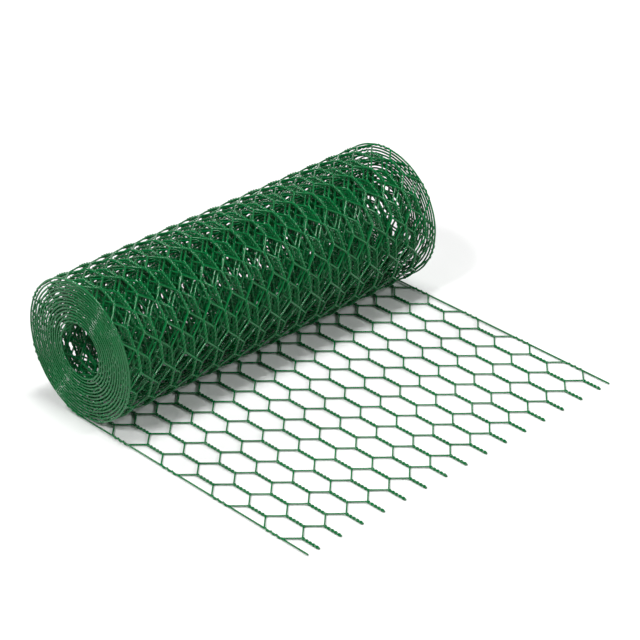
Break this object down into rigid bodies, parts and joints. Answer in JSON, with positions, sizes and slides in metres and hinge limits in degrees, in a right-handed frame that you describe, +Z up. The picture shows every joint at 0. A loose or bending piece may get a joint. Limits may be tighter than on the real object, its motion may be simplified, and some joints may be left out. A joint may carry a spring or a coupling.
{
  "type": "roll of chicken wire",
  "caption": "Roll of green plastic-coated hexagonal wire netting lying on its side, with an open bore and its loose end run out flat along the floor.",
  "frame": {"origin": "on the floor, at the middle of the area that the roll and its loose end take up", "axes": "+X along the roll's axis, -Y the way the loose end runs out, +Z up"},
  "size_m": [0.6046, 0.5633, 0.2186],
  "materials": {
    "coated_wire": "green plastic coating with a soft gloss on steel wire"
  },
  "bodies": {
    "root": {"wound_roll": "coated_wire", "unrolled_sheet": "coated_wire"}
  },
  "joints": []
}
